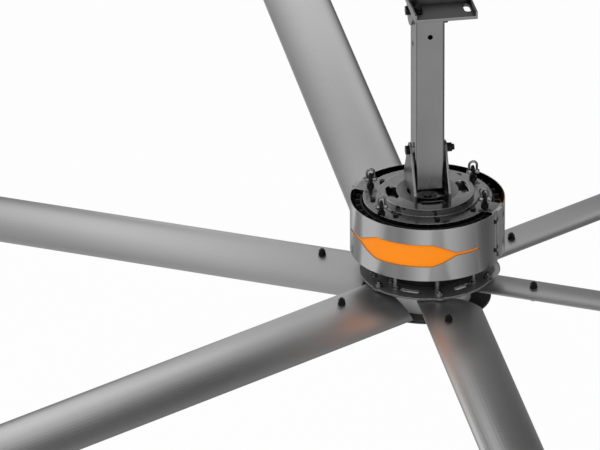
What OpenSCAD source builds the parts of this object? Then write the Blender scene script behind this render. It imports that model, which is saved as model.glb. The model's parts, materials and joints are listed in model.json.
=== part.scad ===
// Large direct-drive ceiling fan: a ceiling bracket, a square drop tube between two bolted
// clevises, a shrouded outer-rotor motor and six hollow blades on struts.
// Millimetres. The origin is the middle of the ceiling face and +Z is up, so the fan hangs below it.
// The supply cord isn't part of the model.

/* [Fan] */
// Diameter over the blade tips
fan_d = 4300; // [3700:50:6100]
// Chord of a blade
blade_chord = 186; // [176:2:196]
// Rise of the upper skin over the chord line
blade_crown = 23; // [22.5:0.5:24]
// Drop of the lower skin under the chord line
blade_belly = 5; // [4.5:0.5:7]
// Skin thickness of the hollow blade
blade_skin = 2.5; // [2:0.25:2.75]
// Pitch of the blades in degrees
blade_pitch = 13.4; // [12:0.2:14]
// Turn of the first blade from +X in degrees
blade_turn = 30.6; // [28:0.2:32]
// Distance from the fan's axis to the blade root
blade_root_r = 156; // [154:1:160]
// Distance from the fan's axis to the bolt on the blade
blade_bolt_r = 303; // [280:1:330]

/* [Ceiling bracket] */
// Width of the ceiling plate, left to right
ceiling_w = 284; // [276:2:340]
// Length of the ceiling plate, front to back
ceiling_l = 460; // [440:5:560]
// Thickness of the ceiling plate
ceiling_t = 10; // [8:1:14]
// Height of the flared riser plates
riser_h = 102; // [80:2:106]
// Width of the riser plates over the channel
riser_w = 168; // [160:2:174]
// Flare of the riser's sides in degrees
riser_flare = 28; // [15:1:28]
// Distance between the outer faces of the two riser plates
riser_span = 366; // [300:2:400]
// Thickness of the riser plates
riser_t = 6; // [5:1:10]
// Width of the channel under the risers
channel_w = 166; // [160:2:180]
// Length of the channel, front to back
channel_l = 556; // [520:4:640]
// Thickness of the channel's web
channel_t = 8; // [6:1:10]
// Height of the channel's upturned lips over the web
lip_h = 12; // [8:1:20]
// Thickness of the channel's lips
lip_t = 5; // [4:1:7]
// Width of the anchor slots in the ceiling plate
anchor_slot_w = 14; // [11:1:18]
// Spacing of the anchor slots, left to right
anchor_gap_x = 210; // [200:5:220]
// Spacing of the anchor slots, front to back
anchor_gap_y = 400; // [385:5:410]
// Straight length of an anchor slot between its end centres
anchor_slot_l = 24; // [10:1:30]
// Width of the clamp slots in the channel
clamp_slot_w = 19; // [14:1:22]
// Straight length of a clamp slot between its end centres
clamp_slot_l = 30; // [20:1:36]
// Spacing of the clamp slots, left to right
clamp_gap_x = 130; // [120:2:134]
// Spacing of the clamp slots, front to back
clamp_gap_y = 440; // [430:2:450]

/* [Drop tube] */
// Outer width of the square drop tube
tube_w = 80; // [76:1:84]
// Wall of the drop tube
tube_wall = 5; // [3:0.5:6]
// Outer corner radius of the drop tube
tube_corner_r = 8; // [6.5:0.5:12]
// Length of the drop tube
tube_l = 578; // [500:2:1500]
// Gap between each end of the tube and the plate it faces
tube_end_gap = 21; // [18:1:30]
// Shank radius of the two pivot bolts
pivot_r = 8; // [6:0.5:10]
// Gap between the tube and each clevis plate
clevis_gap = 4; // [3:0.5:6]
// Thickness of the clevis plates and ears
clevis_t = 6; // [5:0.5:9]
// Width of the upper ears
ear_w = 80; // [60:2:90]
// Height of the upper pivot bolt under the channel
ear_drop = 88; // [80:1:100]
// Half-width of the lower clevis plates at their foot
clevis_half_w = 82; // [60:1:90]
// Height of the upright foot of the lower clevis plates
clevis_foot_h = 24; // [16:1:36]
// Height of the lower pivot bolt over the base plate
clevis_bolt_h = 122; // [110:1:140]
// Radius of the lower clevis plates' round top
clevis_top_r = 21; // [18:0.5:28]
// Radius of the cable hole in the front of the tube
cable_hole_r = 7; // [4:0.5:12]
// Height of that cable hole above the tube's lower end
cable_hole_h = 446; // [330:2:460]
// Radius of the drain hole in the tube's left side
side_hole_r = 8; // [4:0.5:12]
// Height of the drain hole above the tube's lower end
side_hole_h = 413; // [200:1:440]

/* [Motor carrier] */
// Radius of the base plate that carries the lower clevis
base_r = 126; // [123:1:132]
// Thickness of the base plate
base_t = 6; // [5:0.5:9]
// Height of the base plate's skirt under the plate
skirt_h = 7.6; // [7:0.2:12]
// Wall of the base plate's skirt
skirt_wall = 7; // [5:0.5:9]
// Radius of the round hole in the middle of the base plate
base_hole_r = 55; // [30:1:64]
// Radius of the mount ring's flange
mount_ring_r = 138; // [135:1:141]
// Thickness of the mount ring's flange
mount_ring_t = 5; // [4:0.5:8]
// Radius of the motor's top plate
top_plate_r = 174; // [173:0.5:174.5]
// Thickness of the motor's top plate
top_plate_t = 8; // [6:0.5:9]
// Height of the top plate over the shroud's upper rim
plate_proud = 1.4; // [0.4:0.2:4]
// Radius of the circle of eyebolts
eye_circle_r = 165; // [163:0.5:165]
// Turn of the eyebolts from the left-right line in degrees
eye_turn = 31.5; // [28:0.5:34]
// Radius of the circle of bolts through the top plate
plate_bolt_circle_r = 149; // [148:0.5:149]

/* [Shroud] */
// Outer radius of the shroud
shroud_r = 209; // [207:0.5:216]
// Height of the shroud
shroud_h = 152; // [146:1:156]
// Sheet thickness of the shroud
shroud_t = 2; // [1.5:0.25:2.5]
// Turn of the right-hand strap from +X in degrees
strap_turn = -32; // [-33:0.5:-31]
// Half-angle of the gap between the shroud's halves, in degrees
strap_half_angle = 10; // [9:0.25:11]
// Half-height of the window in the shroud
window_half_h = 28; // [16:1:36]
// Depth of the window's middle below the shroud's upper rim
window_drop = 78; // [70:1:84]
// Half-angle of the window in degrees
window_half_angle = 57; // [45:1:60]
// Turn of the front window from +X in degrees
window_turn = 243; // [239:1:247]

/* [Motor] */
// Outer radius of the rotor drum, without its fins
drum_r = 181; // [180.5:0.25:183]
// Outer radius of the drum's fins
fin_r = 195; // [188:0.5:196]
// Thickness of a fin
fin_t = 4; // [2:0.5:6]
// Height of the rotor drum
drum_h = 134; // [130:1:138]
// Inner radius of the drum's working wall
drum_bore_r = 160; // [159:0.5:162]
// Radius of the stator core
core_r = 150; // [140:0.5:150.5]
// Height of the stator core
core_h = 46; // [36:1:50]
// Radius of the shaft in its bearings
shaft_r = 30; // [24:0.5:34]
// Outer radius of the bearings
bearing_r = 52; // [46:0.5:56]
// Height of a bearing
bearing_h = 16; // [12:0.5:18]
// Radius of the drum's lower boss
boss_r = 112; // [108:0.5:113]

/* [Hub] */
// Radius of the ring plate
ring_r = 183; // [182:0.5:186]
// Thickness of the ring plate
ring_t = 5; // [4:0.5:6]
// Gap between the shroud's lower rim and the ring plate
ring_drop = 65; // [62:0.5:72]
// Distance from the fan's axis to the bolts in the ring plate's lobes
lobe_bolt_r = 172; // [170:0.5:172.5]
// Outer radius of a lobe about its bolt
lobe_r = 17; // [14:0.5:18]
// Radius of the circle of standoff studs
stud_circle_r = 150; // [148:0.5:151]
// Radius of the hub cylinder under the ring plate
hub_r = 118; // [116:0.5:119]
// Distance between the ring plate and the bottom of the cover
hub_h = 79; // [76:0.5:86]
// Radius of the bottom cover
cover_r = 173; // [160:0.5:180]
// Height of the bottom cover's rim
cover_rim_h = 12; // [9:0.5:14]
// Length of a strut, from the hub to its end inside the blade
strut_l = 223; // [205:1:260]
// Width of a strut
strut_w = 50; // [44:1:52]
// Thickness of a strut
strut_t = 14; // [12:0.5:14.5]

/* [Hidden] */
$fn = 96;
fine = 48;
small = 32;
overrun = 1;
half = 0.5;

// Counts
blade_count = 6;
stud_count = 8;
plate_bolt_count = 8;
fin_count = 36;
magnet_count = 28;
lock_screw_count = 3;
ring_screw_count = 6;
shield_screw_count = 6;
coil_count = 24;
hex = 6;
skin_points = 26;
arc_steps = 4;
kidney_step = 0.3;
full_turn = 360;
half_turn = 180;
quarter_turn = 90;

// Clearances between pieces
pivot_clear = 0.08;
bearing_clear = 0.05;
bolt_clear = 0.5;
fit_clear = 0.3;
seat_clear = 0.1;

// Fasteners: shank, head radius over the corners and head height
m6_r = 3;
m6_head_r = 5.5;
m6_head_h = 4;
m8_r = 4;
m8_head_r = 7.2;
m8_head_h = 5.5;
m10_r = 5;
m10_head_r = 9.8;
m10_head_h = 6.5;
m12_r = 6;
m12_head_r = 10.5;
m12_head_h = 7.5;
washer_over = 0.8;
washer_t = 2.5;
thread_tail = 5;
m10_nut_h = 9;

// Heights, from the ceiling face down
z_riser_top = -ceiling_t;
z_channel_top = z_riser_top - riser_h;
z_channel = z_channel_top - channel_t;
z_upper_pivot = z_channel - ear_drop;
z_tube_top = z_channel - tube_end_gap;
z_tube = z_tube_top - tube_l;
z_base_top = z_tube - tube_end_gap;
z_lower_pivot = z_base_top + clevis_bolt_h;
z_base = z_base_top - base_t;
z_mount_ring_top = z_base - skirt_h;
z_plate_top = z_mount_ring_top - mount_ring_t;
z_plate = z_plate_top - top_plate_t;
z_rim = z_plate_top - plate_proud;
z_shroud = z_rim - shroud_h;
z_ring_top = z_shroud - ring_drop;
z_ring = z_ring_top - ring_t;
z_cover = z_ring - hub_h;

// Channel and ears
riser_foot_w = channel_w - 2 * lip_t - 2 * fit_clear;
riser_top_w = riser_w + 2 * (riser_h - lip_h - fit_clear) * tan(riser_flare);
channel_hole_r = 30;
ear_x = tube_w / 2 + clevis_gap;
ear_top_half_w = ear_w / 2;
pivot_head_r = 13.5;
pivot_head_h = 10;
pivot_nut_h = 13;
pivot_tail = 7;
pivot_washer_r = 15;
pivot_washer_t = clevis_gap - fit_clear;
pivot_half = ear_x + clevis_t;
pivot_washer_gap = washer_t;

// Base plate, mount ring and top plate
spigot_r = base_r - skirt_wall - fit_clear;
spigot_wall = 7;
spigot_h = skirt_h - seat_clear;
mount_screw_circle_r = spigot_r;
side_slot_r0 = 84;
side_slot_r1 = 113;
front_slot_r0 = 76;
front_slot_r1 = 96;
slot_half_angle = 15;
plate_hole_r = 26;
lock_screw_z = z_base - skirt_h * half;
strap_bar_half_angle = 4.1;
tab_r = shroud_r - 8;
tab_half_w = 30;

// Straps and their claws, in the upright plane through the fan's axis
strap_t = 4;
strap_h = 118;
flange_t = 2;
strap_out_r = shroud_r - shroud_t - flange_t - fit_clear;
strap_in_r = strap_out_r - strap_t;
bar_out_r = shroud_r + 3;
arrow_inset = 1;
diamond_half_w = 14;
diamond_h = 22;
neck_half_w = 5;
claw_t = 8;
claw_r = 30;
claw_mouth_r = 20;
claw_drop = 181;
claw_out = 29;
claw_mouth_out = 33;
claw_cut_r = shroud_r - 22;
neck_in_r = bar_out_r - 10;
neck_out_r = bar_out_r - 2;
neck_foot_out = 8;
neck_foot_in = 20;
neck_foot_share = 0.72;
neck_out_share = 0.9;
flange_gap_angle = 0.4;
flange_lap_angle = 0.6;
strap_wing_angle = strap_half_angle - flange_gap_angle;
flange_start_angle = strap_bar_half_angle + flange_gap_angle;
shroud_screw_angle = 7.2;
shroud_screw_drops = [28, 112];
shroud_screw_out = 3;

// Window outline: shares of its half-height at shares of its depth
window_mid_share = 0.66;
window_mid_h_share = 0.68;
window_end_share = 0.9;
window_end_h_share = 0.94;
panel_over = 9;
panel_t = 1.6;

// Eyebolts and shackles
eye_collar_r = 10.5;
eye_collar_h = 6;
eye_neck_r = 7;
eye_neck_h = 6;
eye_r = 11.5;
eye_wire_r = 4.2;
eye_sink = 3;
shackle_pin_r = 4;
shackle_wire_r = 3.4;
shackle_half_w = 10.6;
shackle_leg_h = 20;
shackle_lug_r = 7;
shackle_lug_t = 6;
shackle_pin_head_r = 6.5;
shackle_pin_head_h = 3.5;
shackle_pin_half = shackle_half_w + shackle_lug_t / 2 + seat_clear;
z_eye = z_plate_top + eye_collar_h + eye_neck_h - eye_sink + eye_r + eye_wire_r - half * eye_wire_r;
z_shackle_pin = z_eye - (eye_r - eye_wire_r) + shackle_pin_r + fit_clear;
eye_angles = [eye_turn, half_turn - eye_turn, half_turn + eye_turn, -eye_turn];

// Motor
flange_r = 157;
flange_h = 12;
drum_step = 11;
z_drum_top = z_plate_top - drum_step;
z_drum = z_drum_top - drum_h;
drum_skirt_r = 176.5;
shield_drop = 21;
z_shield_top = z_drum_top - shield_drop;
shield_t = 8;
z_shield = z_shield_top - shield_t;
drum_floor_t = 10;
air_gap = 1.6;
core_slot_in_r = 112;
core_slot_w = 9;
shield_screw_l = 14;
hub_screw_l = 16;
seat_wall = 8;
boss_wall = 14;
z_upper_bearing = z_shield_top - bearing_h;
lower_seat_h = 24;
bearing_seat_floor = 4;
z_lower_bearing = z_drum - lower_seat_h + bearing_seat_floor;
shaft_hub_r = 62;
shaft_hub_gap = 6;
z_core_mid = (z_shield + z_drum + drum_floor_t) * half;
z_core_top = z_core_mid + core_h * half;
z_core = z_core_mid - core_h * half;
coil_h = 11;
coil_in_r = core_r - 44;
coil_out_r = core_r - 6;
coil_wall = 15;
magnet_t = drum_bore_r - core_r - air_gap;
magnet_w = 26;
lock_nut_r = 42;
lock_nut_h = 12;
shaft_tip_r = 11.5;
shaft_tip_h = 4;
shaft_chamfer = 2;
shield_screw_circle_r = 168;

// Hub
stud_r = 6;
stud_collar_r = 9;
stud_nut_h = 9;
ring_in_r = 72;
arc_in_r = 137;
arc_out_r = 153;
arc_half_angle = 7.8;
hub_wall = 6;
hub_flange_h = 8;
hub_flange_r = 86;
hub_screw_circle_r = 103;
cover_t = 4;
cover_wall = 4;
cover_round = 5;
z_hub = z_cover + cover_t;

// Blades: the strut lies on the radius, and the chord's middle trails it
blade_trail = 31.4;
blade_gap = 32.5;
z_blade = z_ring - blade_gap;
cap_t = 4;
cap_plug = 12;
web_t = 2.5;
strut_start_r = hub_r + 1;
strut_head_l = blade_root_r - strut_start_r - fit_clear;
strut_lead = 32.3;
strut_rise = 6.2;
strut_side_clear = 2;
web_reach = strut_w / 2 + strut_side_clear;
head_h = 20;
bolt_seat_rise = 1.2;
head_seat_drop = 2.6;
inner_bolt_r = 129;
skin_power = 2.2;
lead_power = 0.65;
trail_power = 0.7;
belly_power = 0.6;
nose_wall = 4;

// Helpers

module around(count, turn = 0) {
    for (i = [0 : count - 1]) rotate([0, 0, turn + i * full_turn / count]) children();
}

// Stands a flat shape up in the plane across X: the shape's x goes along Y and its y along Z
module across_x(t) {
    rotate([quarter_turn, 0, quarter_turn]) linear_extrude(t) children();
}

module ring(r_in, r_out, h) {
    difference() {
        cylinder(r = r_out, h = h);
        translate([0, 0, -overrun]) cylinder(r = r_in, h = h + 2 * overrun);
    }
}

// A length of a flat ring about the fan's axis, up to nearly half a turn long
module arc(r_in, r_out, from, to) {
    far = 2 * r_out;
    step = (to - from) / arc_steps;
    intersection() {
        difference() {
            circle(r = r_out);
            circle(r = r_in);
        }
        polygon(concat([[0, 0]], [for (i = [0 : arc_steps])
            [far * cos(from + i * step), far * sin(from + i * step)]]));
    }
}

module slot(w, l) {
    union() {
        square([w, l], center = true);
        for (s = [-1, 1]) translate([0, s * l / 2]) circle(r = w / 2, $fn = small);
    }
}

// A kidney-shaped slot with round ends, about the fan's axis
module kidney(r0, r1, half_angle) {
    mid_r = (r0 + r1) / 2;
    far = r1 / cos(half_angle) + overrun;
    intersection() {
        difference() {
            circle(r = r1);
            circle(r = r0);
        }
        polygon([[0, 0], [far * cos(half_angle), far * sin(half_angle)],
                 [far * cos(half_angle), -far * sin(half_angle)]]);
    }
    for (s = [-1, 1]) rotate(s * half_angle) translate([mid_r, 0])
        circle(r = (r1 - r0) / 2 - kidney_step, $fn = small);
}

module rounded_square(w, r) {
    union() {
        square([w, w - 2 * r], center = true);
        square([w - 2 * r, w], center = true);
        for (x = [-1, 1]) for (y = [-1, 1])
            translate([x * (w / 2 - r), y * (w / 2 - r)]) circle(r = r, $fn = fine);
    }
}

// A bolt that points down from its seat at z = 0, with a washer under its head
module bolt_down(r, head_r, head_h, l) {
    union() {
        translate([0, 0, -l]) cylinder(r = r, h = l + washer_t, $fn = small);
        cylinder(r = head_r + washer_over, h = washer_t, $fn = small);
        translate([0, 0, washer_t]) cylinder(r = head_r, h = head_h, $fn = hex);
    }
}

// A plain screw that points down from its seat at z = 0
module screw_down(r, head_r, head_h, l) {
    union() {
        translate([0, 0, -l]) cylinder(r = r, h = l, $fn = small);
        cylinder(r = head_r, h = head_h, $fn = small);
    }
}

// Ceiling bracket

module ceiling_plate() {
    color("dimgray") translate([0, 0, -ceiling_t]) difference() {
        translate([-ceiling_w / 2, -ceiling_l / 2, 0]) cube([ceiling_w, ceiling_l, ceiling_t]);
        for (x = [-1, 1]) for (y = [-1, 1])
            translate([x * anchor_gap_x / 2, y * anchor_gap_y / 2, -overrun])
                linear_extrude(ceiling_t + 2 * overrun)
                    rotate(quarter_turn) slot(anchor_slot_w, anchor_slot_l);
        translate([0, 0, -overrun]) cylinder(r = channel_hole_r, h = ceiling_t + 2 * overrun);
    }
}

module riser(y) {
    color("gray") translate([0, y + riser_t, z_channel_top]) rotate([quarter_turn, 0, 0])
        linear_extrude(riser_t) polygon([
            [-riser_foot_w / 2, 0],
            [riser_foot_w / 2, 0],
            [riser_foot_w / 2, lip_h + fit_clear],
            [riser_w / 2, lip_h + fit_clear],
            [riser_top_w / 2, riser_h],
            [-riser_top_w / 2, riser_h],
            [-riser_w / 2, lip_h + fit_clear],
            [-riser_foot_w / 2, lip_h + fit_clear]
        ]);
}

module hanger_channel() {
    color("gray") difference() {
        union() {
            translate([-channel_w / 2, -channel_l / 2, z_channel])
                cube([channel_w, channel_l, channel_t]);
            for (x = [-channel_w / 2, channel_w / 2 - lip_t])
                translate([x, -channel_l / 2, z_channel]) cube([lip_t, channel_l, channel_t + lip_h]);
        }
        for (x = [-1, 1]) for (y = [-1, 1])
            translate([x * clamp_gap_x / 2, y * clamp_gap_y / 2, z_channel - overrun])
                linear_extrude(channel_t + 2 * overrun) slot(clamp_slot_w, clamp_slot_l);
        translate([0, 0, z_channel - overrun])
            cylinder(r = channel_hole_r, h = channel_t + 2 * overrun);
    }
}

module ear(x) {
    color("gray") translate([x, 0, z_upper_pivot]) across_x(clevis_t) difference() {
        union() {
            translate([-ear_w / 2, 0]) square([ear_w, ear_drop]);
            circle(r = ear_w / 2);
        }
        circle(r = pivot_r + bolt_clear, $fn = fine);
    }
}

// A pivot bolt along X: head on the left, thread out past the nut on the right
module pivot_bolt(z) {
    tail = pivot_washer_gap + pivot_nut_h + pivot_tail;
    color("black") translate([-pivot_half, 0, z]) rotate([0, quarter_turn, 0]) union() {
        cylinder(r = pivot_r, h = 2 * pivot_half + tail, $fn = fine);
        translate([0, 0, -pivot_head_h]) cylinder(r = pivot_head_r, h = pivot_head_h, $fn = hex);
    }
}

module pivot_nut(z) {
    color("black") translate([pivot_half, 0, z]) rotate([0, quarter_turn, 0]) difference() {
        union() {
            cylinder(r = pivot_washer_r, h = pivot_washer_gap, $fn = fine);
            translate([0, 0, pivot_washer_gap])
                cylinder(r = pivot_head_r, h = pivot_nut_h, $fn = hex);
        }
        translate([0, 0, -overrun]) cylinder(r = pivot_r + seat_clear,
            h = pivot_washer_gap + pivot_nut_h + 2 * overrun, $fn = fine);
    }
}

// Two spacer washers that keep the tube in the middle of its clevis
module pivot_washers(z) {
    color("silver") for (x = [-ear_x, ear_x - pivot_washer_t])
        translate([x, 0, z]) rotate([0, quarter_turn, 0]) difference() {
            cylinder(r = pivot_washer_r, h = pivot_washer_t, $fn = fine);
            translate([0, 0, -overrun]) cylinder(r = pivot_r + seat_clear,
                h = pivot_washer_t + 2 * overrun, $fn = fine);
        }
}

// Drop tube

module drop_tube() {
    color("gray") difference() {
        translate([0, 0, z_tube]) linear_extrude(tube_l) difference() {
            rounded_square(tube_w, tube_corner_r);
            rounded_square(tube_w - 2 * tube_wall, tube_corner_r - tube_wall);
        }
        for (z = [z_upper_pivot, z_lower_pivot])
            translate([-tube_w / 2 - overrun, 0, z]) rotate([0, quarter_turn, 0])
                cylinder(r = pivot_r + pivot_clear, h = tube_w + 2 * overrun, $fn = fine);
        translate([0, -tube_w / 2 - overrun, z_tube + cable_hole_h])
            rotate([-quarter_turn, 0, 0])
                cylinder(r = cable_hole_r, h = tube_wall + 2 * overrun, $fn = fine);
        translate([-tube_w / 2 - overrun, 0, z_tube + side_hole_h]) rotate([0, quarter_turn, 0])
            cylinder(r = side_hole_r, h = tube_wall + 2 * overrun, $fn = fine);
    }
}

// Motor carrier

// Outline with straight sides that meet the round top on a tangent
module clevis_outline() {
    rise = clevis_bolt_h - clevis_foot_h;
    reach = norm([clevis_half_w, rise]);
    touch = acos(clevis_top_r / reach) - atan2(rise, clevis_half_w);
    touch_x = clevis_top_r * cos(touch);
    touch_z = clevis_bolt_h + clevis_top_r * sin(touch);
    difference() {
        union() {
            polygon([[-clevis_half_w, 0], [clevis_half_w, 0], [clevis_half_w, clevis_foot_h],
                     [touch_x, touch_z], [-touch_x, touch_z], [-clevis_half_w, clevis_foot_h]]);
            translate([0, clevis_bolt_h]) circle(r = clevis_top_r, $fn = fine);
        }
        translate([0, clevis_bolt_h]) circle(r = pivot_r + bolt_clear, $fn = fine);
    }
}

module clevis(x) {
    color("gray") translate([x, 0, z_base_top]) across_x(clevis_t) clevis_outline();
}

module base_plate() {
    color("gray") difference() {
        union() {
            translate([0, 0, z_base]) linear_extrude(base_t) difference() {
                circle(r = base_r);
                circle(r = base_hole_r);
                for (a = [0, half_turn]) rotate(a)
                    kidney(side_slot_r0, side_slot_r1, slot_half_angle);
                for (a = [-quarter_turn, quarter_turn]) rotate(a)
                    kidney(front_slot_r0, front_slot_r1, slot_half_angle);
            }
            translate([0, 0, z_base - skirt_h]) ring(base_r - skirt_wall, base_r, skirt_h);
        }
        around(lock_screw_count, -quarter_turn) translate([0, 0, lock_screw_z])
            rotate([0, quarter_turn, 0]) cylinder(r = m6_r * half + fit_clear, h = base_r + overrun,
                $fn = small);
    }
}

module base_lock_screws() {
    color("black") around(lock_screw_count, -quarter_turn)
        translate([base_r, 0, lock_screw_z]) rotate([0, quarter_turn, 0]) union() {
            translate([0, 0, -skirt_wall - fit_clear - spigot_wall])
                cylinder(r = m6_r * half, h = skirt_wall + fit_clear + spigot_wall, $fn = small);
            cylinder(r = m6_r, h = m6_head_h, $fn = small);
        }
}

module mount_ring() {
    color("gray") difference() {
        union() {
            translate([0, 0, z_plate_top]) ring(spigot_r - spigot_wall, mount_ring_r, mount_ring_t);
            translate([0, 0, z_mount_ring_top]) ring(spigot_r - spigot_wall, spigot_r, spigot_h);
        }
        around(lock_screw_count, -quarter_turn) translate([0, 0, lock_screw_z])
            rotate([0, quarter_turn, 0]) cylinder(r = m6_r * half + seat_clear,
                h = base_r + overrun, $fn = small);
        around(ring_screw_count) translate([mount_screw_circle_r, 0, z_plate_top - overrun])
            cylinder(r = m6_r + seat_clear, h = mount_ring_t, $fn = small);
    }
}

module mount_ring_screws() {
    color("silver") around(ring_screw_count)
        translate([mount_screw_circle_r, 0, z_plate - flange_h + m6_head_h])
            rotate([half_turn, 0, 0]) screw_down(m6_r, m6_head_r, m6_head_h,
                flange_h - m6_head_h + top_plate_t + mount_ring_t - overrun);
}

module motor_top_plate() {
    color("gray") difference() {
        translate([0, 0, z_plate]) linear_extrude(top_plate_t) difference() {
            union() {
                circle(r = top_plate_r);
                for (a = [strap_turn, strap_turn + half_turn]) rotate(a) intersection() {
                    translate([0, -tab_half_w]) square([tab_r, 2 * tab_half_w]);
                    circle(r = strap_in_r - fit_clear);
                }
            }
            circle(r = plate_hole_r);
            for (a = eye_angles) rotate(a) translate([eye_circle_r, 0])
                circle(r = m8_r + fit_clear, $fn = small);
            for (i = [0 : plate_bolt_count - 1]) rotate(i * full_turn / plate_bolt_count)
                translate([plate_bolt_circle_r, 0]) circle(r = m8_r + fit_clear, $fn = small);
            for (i = [0 : ring_screw_count - 1]) rotate(i * full_turn / ring_screw_count)
                translate([mount_screw_circle_r, 0]) circle(r = m6_r + fit_clear, $fn = small);
        }
    }
}

module top_plate_bolts() {
    color("black") around(plate_bolt_count) translate([plate_bolt_circle_r, 0, z_plate_top])
        screw_down(m8_r, m8_head_r, m8_head_h, top_plate_t + flange_h);
}

// An eyebolt with its eye across X, and its nut under the top plate
module eyebolt() {
    union() {
        translate([0, 0, z_plate - m8_head_h]) cylinder(r = m8_head_r, h = m8_head_h, $fn = hex);
        translate([0, 0, z_plate - m8_head_h])
            cylinder(r = m8_r, h = top_plate_t + m8_head_h, $fn = small);
        translate([0, 0, z_plate_top]) cylinder(r = eye_collar_r, h = eye_collar_h, $fn = fine);
        translate([0, 0, z_plate_top + eye_collar_h])
            cylinder(r = eye_neck_r, h = eye_neck_h, $fn = fine);
        translate([0, 0, z_eye]) rotate([0, quarter_turn, 0]) rotate_extrude($fn = fine)
            translate([eye_r, 0]) circle(r = eye_wire_r, $fn = small);
    }
}

module eyebolts() {
    color("black") for (a = eye_angles)
        translate([eye_circle_r * cos(a), eye_circle_r * sin(a), 0]) eyebolt();
}

// A bow shackle that stands on its pin through the eye; the pin lies along X
module shackle(i) {
    a = eye_angles[i];
    color("silver") translate([eye_circle_r * cos(a), eye_circle_r * sin(a), z_shackle_pin]) {
        difference() {
            union() {
                translate([0, 0, shackle_leg_h]) rotate([quarter_turn, 0, 0])
                    rotate_extrude(angle = half_turn, $fn = fine)
                        translate([shackle_half_w, 0]) circle(r = shackle_wire_r, $fn = small);
                for (s = [-1, 1]) {
                    translate([s * shackle_half_w, 0, 0])
                        cylinder(r = shackle_wire_r, h = shackle_leg_h, $fn = small);
                    translate([s * shackle_half_w - shackle_lug_t / 2, 0, 0])
                        rotate([0, quarter_turn, 0])
                            cylinder(r = shackle_lug_r, h = shackle_lug_t, $fn = fine);
                }
            }
            translate([-shackle_pin_half, 0, 0]) rotate([0, quarter_turn, 0])
                cylinder(r = shackle_pin_r + seat_clear, h = 2 * shackle_pin_half, $fn = fine);
        }
        translate([-shackle_pin_half, 0, 0]) rotate([0, quarter_turn, 0]) union() {
            cylinder(r = shackle_pin_r, h = 2 * shackle_pin_half, $fn = fine);
            translate([0, 0, -shackle_pin_head_h])
                cylinder(r = shackle_pin_head_r, h = shackle_pin_head_h, $fn = hex);
            translate([0, 0, 2 * shackle_pin_half])
                cylinder(r = shackle_pin_head_r, h = shackle_pin_head_h, $fn = hex);
        }
    }
}

// Straps and shroud

// The claw's outline, drawn with x as the distance from the fan's axis and y as the height
module claw_outline() {
    union() {
        difference() {
            translate([shroud_r - claw_out, z_rim - claw_drop]) circle(r = claw_r, $fn = fine);
            translate([shroud_r - claw_mouth_out, z_rim - claw_drop])
                circle(r = claw_mouth_r, $fn = fine);
            translate([claw_cut_r - 2 * claw_r, z_rim - claw_drop - 2 * claw_r])
                square([2 * claw_r, 4 * claw_r]);
        }
        polygon([[neck_in_r, z_rim - strap_h], [neck_out_r, z_rim - strap_h],
                 [neck_out_r, z_rim - strap_h - diamond_h * neck_out_share],
                 [shroud_r - neck_foot_out, z_rim - claw_drop + claw_r * neck_foot_share],
                 [shroud_r - neck_foot_in, z_rim - claw_drop + claw_r * neck_foot_share]]);
    }
}

module strap(turn) {
    color("silver") difference() {
        union() {
            rotate([0, 0, turn]) translate([0, 0, z_rim - strap_h])
                linear_extrude(strap_h + plate_proud) difference() {
                    arc(strap_in_r, bar_out_r, -strap_wing_angle, strap_wing_angle);
                    arc(strap_out_r, bar_out_r + overrun, strap_bar_half_angle, strap_half_angle);
                    arc(strap_out_r, bar_out_r + overrun, -strap_half_angle, -strap_bar_half_angle);
                }
            rotate([0, 0, turn]) translate([strap_in_r + arrow_inset, 0, z_rim - strap_h])
                across_x(bar_out_r - strap_in_r - 2 * arrow_inset) polygon([
                    [-diamond_half_w, diamond_h * half], [0, diamond_h],
                    [diamond_half_w, diamond_h * half], [diamond_half_w, 0],
                    [neck_half_w, -diamond_h], [-neck_half_w, -diamond_h], [-diamond_half_w, 0]]);
            rotate([0, 0, turn]) translate([0, claw_t / 2, 0]) rotate([quarter_turn, 0, 0])
                linear_extrude(claw_t) claw_outline();
        }
        for (s = [-1, 1]) for (d = shroud_screw_drops)
            rotate([0, 0, turn + s * shroud_screw_angle]) translate([strap_in_r - overrun, 0, z_rim - d])
                rotate([0, quarter_turn, 0]) cylinder(r = m6_r + seat_clear,
                    h = strap_t + 2 * overrun, $fn = small);
    }
}

// Half of the shroud, from one strap round to the next, with a joggled edge at each end
module shroud_half(turn) {
    wall_r = shroud_r - shroud_t;
    back_r = wall_r - flange_t;
    far_end = half_turn - strap_half_angle;
    mid = window_turn + (turn == strap_turn ? half_turn : 0);
    color("silver") difference() {
        rotate([0, 0, turn]) translate([0, 0, z_shroud]) linear_extrude(shroud_h) difference() {
            arc(back_r, shroud_r, flange_start_angle, half_turn - flange_start_angle);
            arc(wall_r, shroud_r + overrun, 0, strap_half_angle);
            arc(wall_r, shroud_r + overrun, far_end, half_turn);
            arc(back_r - overrun, wall_r, strap_half_angle + flange_lap_angle,
                far_end - flange_lap_angle);
        }
        rotate([0, 0, mid]) window_cut();
        for (e = [turn + shroud_screw_angle, turn + half_turn - shroud_screw_angle])
            for (d = shroud_screw_drops)
                rotate([0, 0, e]) translate([strap_in_r, 0, z_rim - d]) rotate([0, quarter_turn, 0])
                    cylinder(r = m6_r + fit_clear, h = strap_t + 2 * overrun + flange_t, $fn = small);
    }
}

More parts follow.
